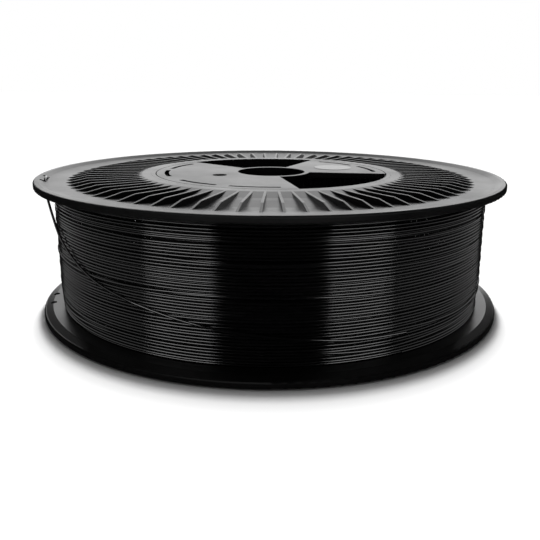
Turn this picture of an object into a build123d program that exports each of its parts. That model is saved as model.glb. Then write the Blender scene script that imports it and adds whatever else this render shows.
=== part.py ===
from build123d import *
import math
import os

os.makedirs("parts", exist_ok=True)

# Filament spool lying on one flange. +Z is the spool's axis, the origin is the centre of
# the lower resting plane, lengths are millimetres and angles are degrees from +X.

# Whole spool
spool_width = 100.0             # between the two outer hub faces
flange_radius = 175.0

# Flange
rim_setback = 0.5               # the rim lies this far inside the hub face
annulus_setback = 2.8           # the flat web between the ribs' ends and the rim
flange_depth = 7.0              # from the hub face to the face that the filament touches
hub_band = 6.4                  # flat ring round the drum's end, level with the hub face
web_steep_drop = 2.1            # the web falls from the hub band in three slopes
web_ledge_drop = 0.45
web_valley_setback = 4.2        # its lowest stretch, which reaches to under the ribs' knees
ledge_start_share = 0.315       # where the slopes change, from the hub band to the knees
ledge_end_share = 0.466
valley_start_share = 0.831
rim_height = 4.8                # height of the rim's outer wall, with its round edges
rim_flat = 2.6                  # radial width of the crest
rim_shoulder = 4.0              # radial width of the slope inside the crest
rim_hollow = 5.0                # radial width of the hollow at the foot of the slope
shoulder_share = 0.8            # how much of the rim's inner height the slope takes
rim_round = 1.3
rim_bevel = 5.0                 # radial width of the bevel on the inner face
rib_count = 72
rib_thickness = 1.9
rib_knee_from_rim = 36.8        # where the rib's level top ends
rib_run_out = 15.1              # radial run of the rib's sloping end
rib_lap = 1.0                   # how far a rib's level top runs into the hub band
rib_root = 1.0                  # how far a rib's foot is sunk in the web
rib_round = 0.45
first_rib_angle = 2.83
thread_hole_radius = 2.4
thread_hole_from_rim = 6.5
thread_hole_angles = (188.5, 195.5)

# Drum that the filament is wound on
drum_inner_radius = 89.0
drum_end_wall = 3.0             # wall of each end, which passes through a flange
drum_shoulder = 2.5             # step between an end and the wound length
drum_rib_count = 72
drum_rib_height = 1.2
drum_rib_thickness = 1.3
drum_end_setback = 0.3          # the drum's ribs stop this far under the hub face

# Hub plates
bore_radius = 26.0
collar_wall = 3.5
plate_thickness = 4.0
sector_count = 5
first_sector_angle = -6.0
closed_sectors = (0, 2, 3)
slot_from_edge = 7.7            # middle of an arc slot, from the plate's edge
slot_width = 3.4
slot_sweep = 25.0
slot_from_middle = 16.0         # the two slots lie this far each side of a sector's middle
snap_sweep = 14.0
snap_reach = 0.9                # how far a snap bead goes into the drum's wall
snap_height = 1.2
snap_depth = 2.4                # from the hub face to the bead
drive_hole_radius = 5.5
drive_hole_circle = 44.5
drive_hole_angle = 210.0
drive_boss_wall = 2.5
collar_depth = 10.0
tube_rebate = 4.0

# Blank round label
label_radius = 15.0
label_thickness = 0.2
label_from_edge = 31.3          # centre of the label, from the plate's edge
label_angle = 28.0

# Filament
filament_diameter = 1.75
winding_from_rim = 13.0         # how far the full winding stays inside the flange's edge

# Clearances
fit_gap = 0.1                   # between pieces that are pushed together
plate_gap = 0.7                 # round the edge of a hub plate
touch_gap = 0.05                # between the loose filament and what it lies on
run_sagitta = 0.8               # how far a straight run cuts inside its two ends
thread_inset = 1.0              # the loose end passes this far inside the thread holes' circle

# Derived places
mid_height = spool_width / 2
drum_end_radius = drum_inner_radius + drum_end_wall
drum_body_radius = drum_end_radius + drum_shoulder
plate_radius = drum_inner_radius - plate_gap
slot_radius = plate_radius - slot_from_edge
label_circle = plate_radius - label_from_edge
collar_radius = bore_radius + collar_wall
flange_bore = drum_end_radius + fit_gap
knee_radius = flange_radius - rib_knee_from_rim
thread_circle = flange_radius - thread_hole_from_rim
wound_radius = flange_radius - winding_from_rim
sector_angle = 360.0 / sector_count


def ring(inner, outer, low, high):
    """A round ring between two heights."""
    whole = Cylinder(outer, high - low)
    hole = Cylinder(inner, high - low)
    return Pos(0, 0, (low + high) / 2) * (whole - hole)


def arc_block(inner, outer, start, sweep, low, high):
    """A piece of a ring between two angles."""
    middle = Rot(0, 0, start + sweep / 2)
    reach = 2 * outer
    half = math.radians(sweep / 2)
    wedge = Polygon((0, 0), (reach, -reach * math.tan(half)), (reach, reach * math.tan(half)), align=None)
    prism = Pos(0, 0, low) * extrude(wedge, high - low)
    return ring(inner, outer, low, high) & (middle * prism)


def turned_over(piece):
    """The same piece on the other side of the spool."""
    return piece.mirror(Plane.XY.offset(mid_height))


def sector_start(index):
    return first_sector_angle + index * sector_angle


def in_closed_sector(angle):
    index = int(((angle - first_sector_angle) % 360.0) // sector_angle)
    return index in closed_sectors


# Flange: one revolved section, ribs on its outer face, two holes for the filament's end

def flange_section():
    band_end = flange_bore + hub_band
    web_run = knee_radius - band_end
    ledge_start = band_end + ledge_start_share * web_run
    ledge_end = band_end + ledge_end_share * web_run
    ledge_depth = web_steep_drop + web_ledge_drop
    valley_start = band_end + valley_start_share * web_run
    rib_end = knee_radius + rib_run_out
    crest_start = flange_radius - rim_round - rim_flat
    shoulder_start = crest_start - rim_shoulder
    hollow_start = shoulder_start - rim_hollow
    shoulder_height = rim_setback + (annulus_setback - rim_setback) * shoulder_share
    wall_end = rim_setback + rim_height
    bevel_start = flange_radius - rim_round - rim_bevel
    outline = [
        Line((flange_bore, 0), (band_end, 0)),
        Line((band_end, 0), (ledge_start, web_steep_drop)),
        Line((ledge_start, web_steep_drop), (ledge_end, ledge_depth)),
        Line((ledge_end, ledge_depth), (valley_start, web_valley_setback)),
        Line((valley_start, web_valley_setback), (knee_radius, web_valley_setback)),
        Line((knee_radius, web_valley_setback), (rib_end, annulus_setback)),
        Line((rib_end, annulus_setback), (hollow_start, annulus_setback)),
        TangentArc((hollow_start, annulus_setback), (shoulder_start, shoulder_height), tangent=(1, 0)),
        Line((shoulder_start, shoulder_height), (crest_start, rim_setback)),
        Line((crest_start, rim_setback), (flange_radius - rim_round, rim_setback)),
        TangentArc((flange_radius - rim_round, rim_setback), (flange_radius, rim_setback + rim_round),
                   tangent=(1, 0)),
        Line((flange_radius, rim_setback + rim_round), (flange_radius, wall_end - rim_round)),
        TangentArc((flange_radius, wall_end - rim_round), (flange_radius - rim_round, wall_end),
                   tangent=(0, 1)),
        Line((flange_radius - rim_round, wall_end), (bevel_start, flange_depth)),
        Line((bevel_start, flange_depth), (flange_bore, flange_depth)),
        Line((flange_bore, flange_depth), (flange_bore, 0)),
    ]
    return Plane.XZ * make_face(outline)


def flange_rib():
    """A wedge whose top is level with the hub face while the web falls away under it."""
    root = web_valley_setback + rib_root
    start = flange_bore + hub_band - rib_lap
    end = knee_radius + rib_run_out
    outline = Polygon(
        (start, 0),
        (knee_radius, 0),
        (end, annulus_setback),
        (end, root),
        (start, root),
        align=None,
    )
    rib = extrude(Plane.XZ * outline, rib_thickness / 2, both=True)
    long_edges = [edge for edge in rib.edges() if is_top_edge(edge)]
    return fillet(long_edges, rib_round)


def is_top_edge(edge):
    """The four edges along the rib's level top and its sloping end."""
    ends = (edge @ 0, edge @ 1)
    radial = abs(ends[0].X - ends[1].X) > 1.0
    high = min(ends[0].Z, ends[1].Z) < annulus_setback - 0.5
    return radial and high


def make_flange():
    disc = revolve(flange_section(), Axis.Z)
    rib = flange_rib()
    ribs = [Rot(0, 0, first_rib_angle + k * 360.0 / rib_count) * rib for k in range(rib_count)]
    disc = disc + ribs
    holes = [thread_hole(angle) for angle in thread_hole_angles]
    return disc - holes


def thread_hole(angle):
    place = Rot(0, 0, angle) * Pos(thread_circle, 0, flange_depth / 2)
    return place * Cylinder(thread_hole_radius, 2 * flange_depth)


# Drum: a tube with thin ends, ribs along its inside and pockets for the snap beads

def make_drum():
    ends = ring(drum_inner_radius, drum_end_radius, 0, spool_width)
    body = ring(drum_inner_radius, drum_body_radius, flange_depth, spool_width - flange_depth)
    drum = ends + body
    drum = drum + [drum_rib(k * 360.0 / drum_rib_count) for k in range(drum_rib_count)]
    pockets = [snap_pocket(angle) for angle in snap_angles()]
    return drum - pockets - [turned_over(pocket) for pocket in pockets]


def drum_rib(angle):
    end = plate_thickness if in_closed_sector(angle) else drum_end_setback
    reach = drum_rib_height + drum_end_wall / 2
    block = Box(reach, drum_rib_thickness, spool_width - 2 * end)
    return Rot(0, 0, angle) * Pos(drum_inner_radius - drum_rib_height + reach / 2, 0, mid_height) * block


def snap_pocket(angle):
    sweep = snap_sweep + 1.0
    low = snap_depth - fit_gap
    high = snap_depth + snap_height + fit_gap
    depth = snap_reach + fit_gap
    start = angle - sweep / 2
    return arc_block(drum_inner_radius - 0.5, drum_inner_radius + depth, start, sweep, low, high)


def slot_angles():
    middles = [sector_start(index) + sector_angle / 2 for index in closed_sectors]
    return [middle + side * slot_from_middle for middle in middles for side in (-1, 1)]


def snap_angles():
    return slot_angles()


# Hub plate: three closed sectors round a collar, with the slots that let its edge spring

def make_hub_plate():
    plate = ring(bore_radius, collar_radius, 0, collar_depth)
    for index in closed_sectors:
        plate = plate + arc_block(bore_radius, plate_radius, sector_start(index), sector_angle, 0,
                                  plate_thickness)
    plate = plate + place_drive_hole(Cylinder(drive_hole_radius + drive_boss_wall, collar_depth))
    plate = plate - place_drive_hole(Cylinder(drive_hole_radius, 3 * collar_depth))
    for angle in slot_angles():
        slot = arc_block(slot_radius - slot_width / 2, slot_radius + slot_width / 2,
                         angle - slot_sweep / 2, slot_sweep, -1, plate_thickness + 1)
        plate = plate - slot
    for angle in snap_angles():
        plate = plate + arc_block(plate_radius - 0.5, drum_inner_radius + snap_reach,
                                  angle - snap_sweep / 2, snap_sweep, snap_depth,
                                  snap_depth + snap_height)
    rebate_radius = bore_radius + collar_wall / 2
    rebate = ring(rebate_radius, collar_radius + 1, collar_depth - tube_rebate, collar_depth + 1)
    return plate - rebate


def place_drive_hole(piece):
    return Rot(0, 0, drive_hole_angle) * Pos(drive_hole_circle, 0, collar_depth / 2) * piece


# Bore tube: runs between the two collars and laps over them

def make_bore_tube():
    low = collar_depth - tube_rebate
    high = spool_width - low
    tube = ring(bore_radius, collar_radius, low, high)
    lap_radius = bore_radius + collar_wall / 2 + fit_gap
    lap = ring(bore_radius - 1, lap_radius, low - 1, collar_depth)
    return tube - lap - turned_over(lap)


def make_label():
    low = spool_width
    disc = Pos(0, 0, low + label_thickness / 2) * Cylinder(label_radius, label_thickness)
    return Rot(0, 0, label_angle) * Pos(label_circle, 0, 0) * disc


# Filament: the wound length as one ring, and the loose end that is threaded into the flange

def make_winding():
    return ring(drum_body_radius, wound_radius, flange_depth, spool_width - flange_depth)


def at_angle(radius, angle, height):
    return (radius * math.cos(math.radians(angle)), radius * math.sin(math.radians(angle)), height)


def on_winding(angle, height):
    """A point far enough outside the winding that the runs between such points clear it."""
    return at_angle(wound_radius + filament_diameter / 2 + touch_gap + run_sagitta, angle, height)


def at_thread_hole(angle, depth):
    """A point of the loose end in or over the thread holes, this far under the upper hub face."""
    return at_angle(thread_circle - thread_inset, angle, spool_width - depth)


tail_route = [
    on_winding(299.7, 22.3),
    on_winding(290.3, 22.1),
    on_winding(281.4, 24.1),
    on_winding(272.5, 26.6),
    on_winding(263, 29.6),
    on_winding(254.1, 32.8),
    on_winding(245.7, 37.3),
    on_winding(237.3, 41.6),
    on_winding(228.9, 46.5),
    on_winding(221.5, 53.8),
    on_winding(214.7, 61.4),
    on_winding(208.7, 68.1),
    at_thread_hole(195.8, 9.6),
    at_thread_hole(195.6, 0.72),
    at_thread_hole(188.4, 0.72),
    at_thread_hole(188.2, 9.2),
]


def corner_radii(points):
    radii = []
    for before, here, after in zip(points, points[1:], points[2:]):
        run_in = Vector(here) - Vector(before)
        run_out = Vector(after) - Vector(here)
        half_turn = math.radians(run_in.get_angle(run_out) / 2)
        radii.append(0.45 * min(run_in.length, run_out.length) / math.tan(half_turn))
    return radii


def make_tail():
    radii = corner_radii(tail_route)
    path = FilletPolyline(*tail_route, radius=radii)
    section = Plane(origin=path @ 0, z_dir=path % 0) * Circle(filament_diameter / 2)
    tail = sweep(section, path=path)
    print("tail radii", [round(radius, 1) for radius in radii])
    print("tail length", round(path.length, 1), "volume", round(tail.volume, 1),
          "section times length", round(math.pi * (filament_diameter / 2) ** 2 * path.length, 1))
    return tail


flange = make_flange()
hub_plate = make_hub_plate()

pieces = {
    "flange_bottom": flange,
    "flange_top": turned_over(flange),
    "core_drum": make_drum(),
    "hub_plate_bottom": hub_plate,
    "hub_plate_top": turned_over(hub_plate),
    "bore_tube": make_bore_tube(),
    "label_disc": make_label(),
    "filament_winding": make_winding(),
    "filament_tail": make_tail(),
}

for name, piece in pieces.items():
    export_step(piece, "parts/" + name + ".step")
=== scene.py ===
import bpy
import math
import random
from mathutils import Matrix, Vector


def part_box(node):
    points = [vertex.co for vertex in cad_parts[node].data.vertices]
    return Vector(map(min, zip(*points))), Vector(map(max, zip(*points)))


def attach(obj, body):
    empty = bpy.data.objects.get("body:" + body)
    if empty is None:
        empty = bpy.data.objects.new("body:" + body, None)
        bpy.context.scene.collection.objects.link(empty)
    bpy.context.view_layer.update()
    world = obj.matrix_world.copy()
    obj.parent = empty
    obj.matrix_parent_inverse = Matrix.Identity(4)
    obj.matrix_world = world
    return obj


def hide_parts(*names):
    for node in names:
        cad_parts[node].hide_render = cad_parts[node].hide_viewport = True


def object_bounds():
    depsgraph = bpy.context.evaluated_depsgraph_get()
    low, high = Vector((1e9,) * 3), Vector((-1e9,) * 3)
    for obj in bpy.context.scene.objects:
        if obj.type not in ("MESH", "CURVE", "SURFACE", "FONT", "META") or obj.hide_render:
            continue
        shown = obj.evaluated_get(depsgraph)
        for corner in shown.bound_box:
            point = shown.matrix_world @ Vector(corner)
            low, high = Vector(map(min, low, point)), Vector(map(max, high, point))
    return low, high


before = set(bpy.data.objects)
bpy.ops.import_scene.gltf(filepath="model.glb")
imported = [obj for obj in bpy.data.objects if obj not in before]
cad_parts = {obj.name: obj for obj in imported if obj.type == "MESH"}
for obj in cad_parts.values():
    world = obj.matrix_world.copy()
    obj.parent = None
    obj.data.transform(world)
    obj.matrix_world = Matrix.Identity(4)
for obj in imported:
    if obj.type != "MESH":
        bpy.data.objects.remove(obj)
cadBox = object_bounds()
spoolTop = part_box("core_drum")[1][2]        # the outer faces of the hub
print("spool loaded, nodes:", ", ".join(sorted(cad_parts)))


# small helpers used by every piece

def deselectAll():
    for item in bpy.context.selected_objects:
        item.select_set(False)
    bpy.context.view_layer.objects.active = None


def makeActive(piece):
    deselectAll()
    piece.select_set(True)
    bpy.context.view_layer.objects.active = piece


def aroundSpool(radius, degrees, height):
    angle = math.radians(degrees)
    return (radius * math.cos(angle), radius * math.sin(angle), height)


cameraSettings = {
    "place": (0.0, -0.49876, 0.164435),
    "turnRight": 0.8808,      # degrees towards +X
    "tiltDown": 15.4014,
    "roll": 0.4816,
    "lens": 42.43,            # mm on the sensor's width
    "sensorWidth": 36.0,
    "shift": (-0.0192, -0.0160),
    "nearestSeen": 0.01,
}


def addCamera():
    deselectAll()
    bpy.ops.object.camera_add(location=cameraSettings["place"])
    camera = bpy.context.object
    camera.name = "camera"
    turn = Matrix.Rotation(math.radians(-cameraSettings["turnRight"]), 4, "Z")
    tilt = Matrix.Rotation(math.radians(90 - cameraSettings["tiltDown"]), 4, "X")
    roll = Matrix.Rotation(math.radians(cameraSettings["roll"]), 4, "Z")
    camera.matrix_world = Matrix.Translation(cameraSettings["place"]) @ turn @ tilt @ roll
    camera.data.lens = cameraSettings["lens"]
    camera.data.sensor_width = cameraSettings["sensorWidth"]
    camera.data.shift_x, camera.data.shift_y = cameraSettings["shift"]
    camera.data.clip_start = cameraSettings["nearestSeen"]
    camera.data.dof.use_dof = False
    bpy.context.scene.camera = camera


addCamera()


# node helpers for the materials

def blankMaterial(name):
    material = bpy.data.materials.new(name)
    material.use_nodes = True
    tree = material.node_tree
    shader = tree.nodes["Principled BSDF"]
    coords = tree.nodes.new("ShaderNodeTexCoord")
    return material, tree, shader, coords


def addMapping(tree, coords, scale=(1, 1, 1), turn=(0, 0, 0)):
    mapping = tree.nodes.new("ShaderNodeMapping")
    mapping.inputs["Scale"].default_value = scale
    mapping.inputs["Rotation"].default_value = turn
    tree.links.new(coords.outputs["Object"], mapping.inputs["Vector"])
    return mapping


def addNoise(tree, source, scale, detail=2.0, roughness=0.5):
    noise = tree.nodes.new("ShaderNodeTexNoise")
    noise.inputs["Scale"].default_value = scale
    noise.inputs["Detail"].default_value = detail
    noise.inputs["Roughness"].default_value = roughness
    tree.links.new(source.outputs[0], noise.inputs["Vector"])
    return noise


def addRange(tree, source, fromLow, fromHigh, toLow, toHigh):
    spread = tree.nodes.new("ShaderNodeMapRange")
    spread.inputs["From Min"].default_value = fromLow
    spread.inputs["From Max"].default_value = fromHigh
    spread.inputs["To Min"].default_value = toLow
    spread.inputs["To Max"].default_value = toHigh
    tree.links.new(source, spread.inputs["Value"])
    return spread.outputs["Result"]


def addMath(tree, operation, first, second):
    step = tree.nodes.new("ShaderNodeMath")
    step.operation = operation
    for socket, value in zip(step.inputs, (first, second)):
        if isinstance(value, (int, float)):
            socket.default_value = value
        else:
            tree.links.new(value, socket)
    return step.outputs["Value"]


def addColourMix(tree, factor, dark, light):
    mix = tree.nodes.new("ShaderNodeMix")
    mix.data_type = "RGBA"
    mix.inputs["A"].default_value = (*dark, 1)
    mix.inputs["B"].default_value = (*light, 1)
    tree.links.new(factor, mix.inputs["Factor"])
    return mix.outputs["Result"]


def addBump(tree, height, strength, distance, below=None):
    bump = tree.nodes.new("ShaderNodeBump")
    bump.inputs["Strength"].default_value = strength
    bump.inputs["Distance"].default_value = distance
    tree.links.new(height, bump.inputs["Height"])
    if below is not None:
        tree.links.new(below.outputs["Normal"], bump.inputs["Normal"])
    return bump


# moulded black plastic: fine grain, faint sink marks and a few scuffs

mouldedPlastic = {
    "dark": (0.0035, 0.0035, 0.0037),
    "light": (0.0070, 0.0070, 0.0073),
    "cloudScale": 28.0,
    "cloudRange": (0.3, 0.7),          # the noise values that the tone and the gloss run between
    "grainScale": 2600.0,
    "grainStrength": 0.35,
    "grainDepth": 0.00002,
    "sinkScale": 45.0,
    "sinkStrength": 0.25,
    "sinkDepth": 0.00012,
    "scuffStretch": (1.0, 14.0, 1.0),
    "scuffScale": 60.0,
    "scuffRange": (0.60, 0.74),
    "scuffRoughness": 0.08,            # added where the plastic is scuffed most
    "endFaceBlend": (0.0006, 0.0002),  # how far inside the end faces their finish starts and is full
    "refraction": 1.5,
}


def addEndFaceMask(tree, coords):
    # 1 on the end faces, level with the outside of the spool, and 0 further in
    parts = tree.nodes.new("ShaderNodeSeparateXYZ")
    tree.links.new(coords.outputs["Object"], parts.inputs[0])
    middle = (cadBox[0][2] + spoolTop) / 2
    fromMiddle = addMath(tree, "ABSOLUTE", addMath(tree, "SUBTRACT", parts.outputs["Z"], middle), 0.0)
    starts, full = mouldedPlastic["endFaceBlend"]
    return addRange(tree, fromMiddle, middle - starts, middle - full, 0.0, 1.0)


def makePlastic(name, roughLow, roughHigh, turn, roughInside=None):
    material, tree, shader, coords = blankMaterial(name)
    plain = addMapping(tree, coords)
    cloud = addNoise(tree, plain, mouldedPlastic["cloudScale"], detail=5.0, roughness=0.6)
    tone = addRange(tree, cloud.outputs["Fac"], *mouldedPlastic["cloudRange"], 0.0, 1.0)
    colour = addColourMix(tree, tone, mouldedPlastic["dark"], mouldedPlastic["light"])
    tree.links.new(colour, shader.inputs["Base Color"])

    stretched = addMapping(tree, coords, mouldedPlastic["scuffStretch"], (0, 0, turn))
    scuff = addNoise(tree, stretched, mouldedPlastic["scuffScale"], detail=8.0, roughness=0.7)
    scuffRoughness = mouldedPlastic["scuffRoughness"]
    scuffMask = addRange(tree, scuff.outputs["Fac"], *mouldedPlastic["scuffRange"], 0.0, scuffRoughness)
    rough = addRange(tree, cloud.outputs["Fac"], *mouldedPlastic["cloudRange"], roughLow, roughHigh)
    if roughInside is not None:
        mask = addEndFaceMask(tree, coords)
        change = addRange(tree, mask, 0.0, 1.0, roughInside - roughLow, 0.0)
        rough = addMath(tree, "ADD", rough, change)
    tree.links.new(addMath(tree, "ADD", rough, scuffMask), shader.inputs["Roughness"])

    sink = addNoise(tree, plain, mouldedPlastic["sinkScale"], detail=1.0)
    grain = addNoise(tree, plain, mouldedPlastic["grainScale"], detail=2.0)
    wide = addBump(tree, sink.outputs["Fac"], mouldedPlastic["sinkStrength"], mouldedPlastic["sinkDepth"])
    fine = addBump(tree, grain.outputs["Fac"], mouldedPlastic["grainStrength"],
                   mouldedPlastic["grainDepth"], below=wide)
    tree.links.new(fine.outputs["Normal"], shader.inputs["Normal"])
    shader.inputs["IOR"].default_value = mouldedPlastic["refraction"]
    return material


# filament: glossy black, with the slight drawn streaks of extruded plastic

filamentFinish = {
    "dark": (0.0012, 0.0012, 0.0013),
    "light": (0.0026, 0.0026, 0.0028),
    "roughness": (0.08, 0.15),
    "flattening": (1.0, 1.0, 9.0),     # squeezes the noise into streaks along the strand
    "patchScale": 40.0,
    "patchRange": (0.3, 0.7),
    "streakScale": 700.0,
    "streakStrength": 0.02,
    "streakDepth": 0.00001,
    "refraction": 1.52,
}


def makeFilamentMaterial():
    material, tree, shader, coords = blankMaterial("filament_gloss")
    flattened = addMapping(tree, coords, filamentFinish["flattening"])
    patch = addNoise(tree, flattened, filamentFinish["patchScale"], detail=4.0, roughness=0.6)
    patchRange = filamentFinish["patchRange"]
    tone = addRange(tree, patch.outputs["Fac"], *patchRange, 0.0, 1.0)
    colour = addColourMix(tree, tone, filamentFinish["dark"], filamentFinish["light"])
    tree.links.new(colour, shader.inputs["Base Color"])
    rough = addRange(tree, patch.outputs["Fac"], *patchRange, *filamentFinish["roughness"])
    tree.links.new(rough, shader.inputs["Roughness"])
    streak = addNoise(tree, flattened, filamentFinish["streakScale"], detail=2.0)
    bump = addBump(tree, streak.outputs["Fac"], filamentFinish["streakStrength"],
                   filamentFinish["streakDepth"])
    tree.links.new(bump.outputs["Normal"], shader.inputs["Normal"])
    shader.inputs["IOR"].default_value = filamentFinish["refraction"]
    return material


# pale label: matt paper-like film

labelFinish = {
    "dark": (0.20, 0.20, 0.20),
    "light": (0.29, 0.29, 0.29),
    "roughness": (0.35, 0.5),
    "mottleScale": 160.0,
    "toneRange": (0.35, 0.65),
    "roughnessRange": (0.3, 0.7),
    "fibreScale": 2200.0,
    "fibreStrength": 0.2,
    "fibreDepth": 0.00002,
}


def makeLabelMaterial():
    material, tree, shader, coords = blankMaterial("label_film")
    plain = addMapping(tree, coords)
    mottle = addNoise(tree, plain, labelFinish["mottleScale"], detail=5.0, roughness=0.6)
    tone = addRange(tree, mottle.outputs["Fac"], *labelFinish["toneRange"], 0.0, 1.0)
    colour = addColourMix(tree, tone, labelFinish["dark"], labelFinish["light"])
    tree.links.new(colour, shader.inputs["Base Color"])
    rough = addRange(tree, mottle.outputs["Fac"], *labelFinish["roughnessRange"], *labelFinish["roughness"])
    tree.links.new(rough, shader.inputs["Roughness"])
    fibre = addNoise(tree, plain, labelFinish["fibreScale"], detail=3.0)
    bump = addBump(tree, fibre.outputs["Fac"], labelFinish["fibreStrength"], labelFinish["fibreDepth"])
    tree.links.new(bump.outputs["Normal"], shader.inputs["Normal"])
    return material


flangePlastic = makePlastic("flange_satin", 0.31, 0.39, 0.4)
hubPlastic = makePlastic("hub_satin", 0.32, 0.40, 1.1, roughInside=0.20)
drumPlastic = makePlastic("drum_satin", 0.31, 0.39, 1.9, roughInside=0.20)
labelFilm = makeLabelMaterial()
filamentGloss = makeFilamentMaterial()
print("materials made")


# loose end of the filament: lies on the winding, climbs, and threads through the upper flange

looseEnd = {
    "thickness": 0.00175,
    "lieRadius": 0.163725,
    "onWinding": [
        (299.7, 0.0223), (290.3, 0.0221), (281.4, 0.0241), (272.5, 0.0266), (263.0, 0.0296), (254.1, 0.0328),
        (245.7, 0.0373), (237.3, 0.0416), (228.9, 0.0465), (221.5, 0.0538), (214.7, 0.0614), (208.7, 0.0681),
    ],
    "holeRadius": 0.1675,
    "inHoles": [(195.8, 0.0096), (195.6, 0.00072), (188.4, 0.00072), (188.2, 0.0092)],
    "length": 0.345,
}


def makeLooseEnd():
    points = [aroundSpool(looseEnd["lieRadius"], angle, height) for angle, height in looseEnd["onWinding"]]
    for angle, depth in looseEnd["inHoles"]:
        points.append(aroundSpool(looseEnd["holeRadius"], angle, spoolTop - depth))
    curve = bpy.data.curves.new("filament_end", "CURVE")
    curve.dimensions = "3D"
    curve.bevel_depth = looseEnd["thickness"] / 2
    curve.bevel_resolution = 4
    curve.resolution_u = 10
    curve.use_fill_caps = True
    spline = curve.splines.new("NURBS")
    spline.points.add(len(points) - 1)
    for point, place in zip(spline.points, points):
        point.co = (*place, 1)
    spline.order_u = 3
    spline.use_endpoint_u = True
    strand = bpy.data.objects.new("filament_end", curve)
    bpy.context.scene.collection.objects.link(strand)
    curve.materials.append(filamentGloss)
    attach(strand, "root")
    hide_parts("filament_tail")
    return strand


strand = makeLooseEnd()
print("loose end laid")


# winding: the outermost turns as one long strand, over a layer of plain turns

winding = {
    "thickness": 0.00175,
    "outerRadius": 0.1607,      # centre of the outermost strand
    "lowerStep": 0.0007,        # the turns under the loose end's start lie this much further in
    "lowerTop": 0.0213,
    "bottom": 0.0079,
    "top": 0.0921,
    "seed": 11,
    "stepsPerTurn": 144,
    "closePitch": (0.00177, 0.00186),
    "widePitch": (0.00200, 0.00245),
    "wideShare": 0.36,
    "strays": 34,
    "strayRise": (0.0006, 0.0013),
    "strayLift": 0.0007,
    "straySweep": (14.0, 34.0),
    "startAngle": 300.0,        # degrees from +X, where the lowest turn starts
    "heightWaves": (0.00005, 0.00003),
    "radiusWaves": (0.0002, 0.00012, 0.0001),
    "underRadius": 0.15925,
    "underPitch": 0.00187,
}


def turnHeights(dice):
    # heights of the turns where they pass the start angle, from the bottom to the top
    heights = [winding["bottom"]]
    while heights[-1] < winding["top"] - winding["thickness"]:
        wide = dice.random() < winding["wideShare"]
        pitch = winding["widePitch"] if wide else winding["closePitch"]
        heights.append(heights[-1] + dice.uniform(*pitch))
    return heights


def strandPoints(heights, dice):
    steps = winding["stepsPerTurn"]
    strays = []
    for _ in range(winding["strays"]):
        strays.append({
            "at": dice.uniform(1.0, len(heights) - 2.0),
            "sweep": dice.uniform(*winding["straySweep"]) / 360.0,
            "rise": dice.uniform(*winding["strayRise"]) * dice.choice((-1, 1)),
        })
    phases = [dice.uniform(0, 2 * math.pi) for _ in range(4)]
    slowRise, quickRise = winding["heightWaves"]
    slowSwell, quickSwell, ovalSwell = winding["radiusWaves"]
    points = []
    for k in range((len(heights) - 1) * steps + 1):
        t = k / steps
        turn = min(int(t), len(heights) - 2)
        along = t - turn
        smooth = along * along * (3 - 2 * along)
        height = heights[turn] * (1 - smooth) + heights[turn + 1] * smooth
        angle = 360.0 * t + winding["startAngle"]
        wave = math.sin(3 * math.radians(angle) + phases[0] + 0.35 * t) * slowRise
        wave += math.sin(5 * math.radians(angle) + phases[1] - 0.5 * t) * quickRise
        radius = winding["outerRadius"] + math.sin(2.1 * t + phases[2]) * slowSwell
        radius += math.sin(5.3 * t + phases[0]) * quickSwell
        radius += math.sin(2 * math.radians(angle) + phases[3] + 0.2 * t) * ovalSwell
        if height < winding["lowerTop"]:
            radius -= winding["lowerStep"]
        for stray in strays:
            away = (t - stray["at"]) / stray["sweep"]
            if abs(away) < 1:
                bell = (1 - away * away) ** 2
                height += stray["rise"] * bell
                radius += winding["strayLift"] * bell
        points.append(aroundSpool(radius, angle, height + wave))
    return points


def makeOuterTurns():
    dice = random.Random(winding["seed"])
    points = strandPoints(turnHeights(dice), dice)
    curve = bpy.data.curves.new("filament_turns", "CURVE")
    curve.dimensions = "3D"
    curve.bevel_depth = winding["thickness"] / 2
    curve.bevel_resolution = 3
    curve.use_fill_caps = True
    spline = curve.splines.new("POLY")
    spline.points.add(len(points) - 1)
    for point, place in zip(spline.points, points):
        point.co = (*place, 1)
    turns = bpy.data.objects.new("filament_turns", curve)
    bpy.context.scene.collection.objects.link(turns)
    makeActive(turns)
    bpy.ops.object.convert(target="MESH")
    turns = bpy.context.object
    turns.data.materials.clear()
    turns.data.materials.append(filamentGloss)
    bpy.ops.object.shade_smooth()
    print("outer turns:", len(turns.data.polygons), "faces")
    return turns


def makeUnderTurns():
    # one plain ring, repeated up the drum
    deselectAll()
    bpy.ops.mesh.primitive_torus_add(major_radius=winding["underRadius"],
                                     minor_radius=winding["thickness"] / 2,
                                     major_segments=120, minor_segments=8,
                                     location=(0, 0, winding["bottom"]))
    turns = bpy.context.object
    turns.name = "filament_under_turns"
    bpy.ops.object.transform_apply(location=True, rotation=True, scale=True)
    stack = turns.modifiers.new("stack", "ARRAY")
    stack.use_relative_offset = False
    stack.use_constant_offset = True
    stack.constant_offset_displace = (0, 0, winding["underPitch"])
    stack.count = int((winding["top"] - winding["bottom"]) / winding["underPitch"]) + 1
    bpy.ops.object.modifier_apply(modifier="stack")
    turns.data.materials.append(filamentGloss)
    bpy.ops.object.shade_smooth()
    return turns


outerTurns = makeOuterTurns()
underTurns = makeUnderTurns()
for piece in (outerTurns, underTurns):
    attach(piece, "root")
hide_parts("filament_winding")
print("winding made")


# moulded pieces keep their CAD shape and get their finish

finishes = {
    "flange_bottom": flangePlastic,
    "flange_top": flangePlastic,
    "core_drum": drumPlastic,
    "bore_tube": drumPlastic,
    "hub_plate_bottom": hubPlastic,
    "hub_plate_top": hubPlastic,
    "label_disc": labelFilm,
}
for nodeName, finish in finishes.items():
    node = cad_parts[nodeName]
    node.data.materials.clear()
    node.data.materials.append(finish)
print("finishes assigned")


# floor, overhead light, backdrop and softboxes

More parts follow.
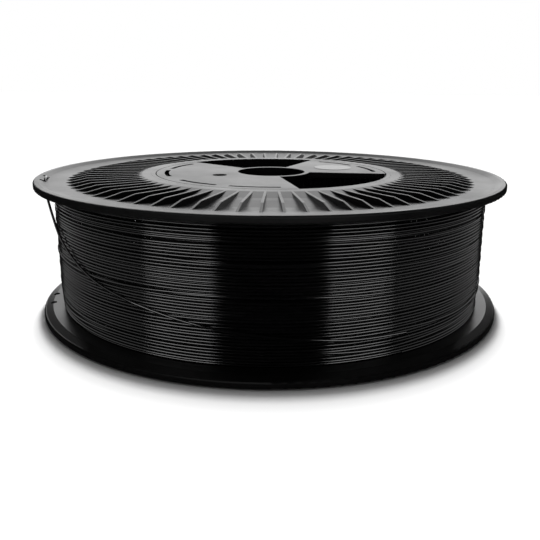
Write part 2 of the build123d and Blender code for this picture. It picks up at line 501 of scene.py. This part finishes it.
studio = {
    "floorSize": 24.0,
    "floorColour": 0.88,
    "floorRoughness": 0.9,
    "worldForCamera": 1.0,
    "worldForDiffuse": 0.10,
    "worldForGloss": 0.015,
}

overhead = {
    # long strips high above: narrow from side to side, so the shadow falls to the front only
    "height": 60.0,
    "width": 1.0,
    "light": 3.85,
    # degrees that each strip reaches from and to, behind the vertical, and its share of the light
    "strips": [(-1.0, 17.0, 0.6), (3.0, 9.0, 0.4)],
}

softboxes = {
    # middle, degrees from +X that it faces, degrees tilted down, width, height, brightness, what it shines on
    "backdropLight": ((0.0, 2.2, 0.9), -90.0, 15.3, 2.7, 2.6, 1.55, "all"),
    "frontLight": ((0.0, -2.2, 0.9), 90.0, 15.3, 5.0, 2.6, 0.22, "moulded"),
    "leftStrip": ((-0.960, -0.993, 0.65), 44.1, 0.0, 0.83, 1.0, 4.4, "filament"),
    "rightStrip": ((0.956, -1.010, 0.65), 135.0, 0.0, 0.78, 1.0, 4.4, "filament"),
    "leftFill": ((-1.65, 0.115, 0.95), -12.0, 0.0, 2.38, 1.9, 0.6, "filament"),
    "rightFill": ((1.65, 0.115, 0.95), 192.0, 0.0, 2.38, 1.9, 0.6, "filament"),
}

shinesOn = {
    "filament": [strand, outerTurns, underTurns],
    "moulded": [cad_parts[nodeName] for nodeName in finishes],
}


def addFloor():
    deselectAll()
    bpy.ops.mesh.primitive_plane_add(size=studio["floorSize"], location=(0, 0, cadBox[0][2]))
    floor = bpy.context.object
    floor.name = "floor"
    material, _, shader, _ = blankMaterial("floor_white")
    shader.inputs["Base Color"].default_value = (*[studio["floorColour"]] * 3, 1)
    shader.inputs["Roughness"].default_value = studio["floorRoughness"]
    shader.inputs["Specular IOR Level"].default_value = 0.0
    floor.data.materials.append(material)
    floor.visible_glossy = False


def addOverheadLights():
    height = overhead["height"]
    for nearLean, farLean, share in overhead["strips"]:
        near = height * math.tan(math.radians(nearLean))
        far = height * math.tan(math.radians(farLean))
        deselectAll()
        bpy.ops.object.light_add(type="AREA", location=(0, (near + far) / 2, height))
        lamp = bpy.context.object
        lamp.name = "overheadLight"
        lamp.data.shape = "RECTANGLE"
        lamp.data.size = overhead["width"]
        lamp.data.size_y = far - near
        lamp.data.energy = overhead["light"] * share * math.pi * height ** 2
        lamp.visible_camera = False
        lamp.visible_glossy = False


def addSoftbox(name, place, faces, tilt, width, height, brightness, pieces):
    # a softbox shows in reflections only; the overhead lights do the rest
    deselectAll()
    bpy.ops.object.light_add(type="AREA", location=place)
    lamp = bpy.context.object
    lamp.name = name
    turn = Matrix.Rotation(math.radians(faces - 90), 4, "Z")
    upright = Matrix.Rotation(math.radians(90 - tilt), 4, "X")
    lamp.matrix_world = Matrix.Translation(place) @ turn @ upright
    lamp.data.shape = "RECTANGLE"
    lamp.data.size = width
    lamp.data.size_y = height
    lamp.data.energy = brightness * math.pi * width * height
    lamp.visible_camera = False
    lamp.visible_diffuse = False
    if pieces in shinesOn:
        group = bpy.data.collections.new(name)
        for piece in shinesOn[pieces]:
            group.objects.link(piece)
        lamp.light_linking.receiver_collection = group


def addWorld():
    world = bpy.data.worlds.new("studio")
    bpy.context.scene.world = world
    world.use_nodes = True
    tree = world.node_tree
    tree.nodes.clear()
    path = tree.nodes.new("ShaderNodeLightPath")
    output = tree.nodes.new("ShaderNodeOutputWorld")
    levels = {}
    for key in ("worldForCamera", "worldForDiffuse", "worldForGloss"):
        levels[key] = tree.nodes.new("ShaderNodeBackground")
        levels[key].inputs["Color"].default_value = (1, 1, 1, 1)
        levels[key].inputs["Strength"].default_value = studio[key]
    diffuseMix = tree.nodes.new("ShaderNodeMixShader")
    cameraMix = tree.nodes.new("ShaderNodeMixShader")
    tree.links.new(path.outputs["Is Diffuse Ray"], diffuseMix.inputs[0])
    tree.links.new(levels["worldForGloss"].outputs[0], diffuseMix.inputs[1])
    tree.links.new(levels["worldForDiffuse"].outputs[0], diffuseMix.inputs[2])
    tree.links.new(path.outputs["Is Camera Ray"], cameraMix.inputs[0])
    tree.links.new(diffuseMix.outputs[0], cameraMix.inputs[1])
    tree.links.new(levels["worldForCamera"].outputs[0], cameraMix.inputs[2])
    tree.links.new(cameraMix.outputs[0], output.inputs["Surface"])


addFloor()
addOverheadLights()
for boxName, boxSettings in softboxes.items():
    addSoftbox(boxName, *boxSettings)
addWorld()
bpy.context.scene.view_settings.view_transform = "Standard"
print("studio lit")
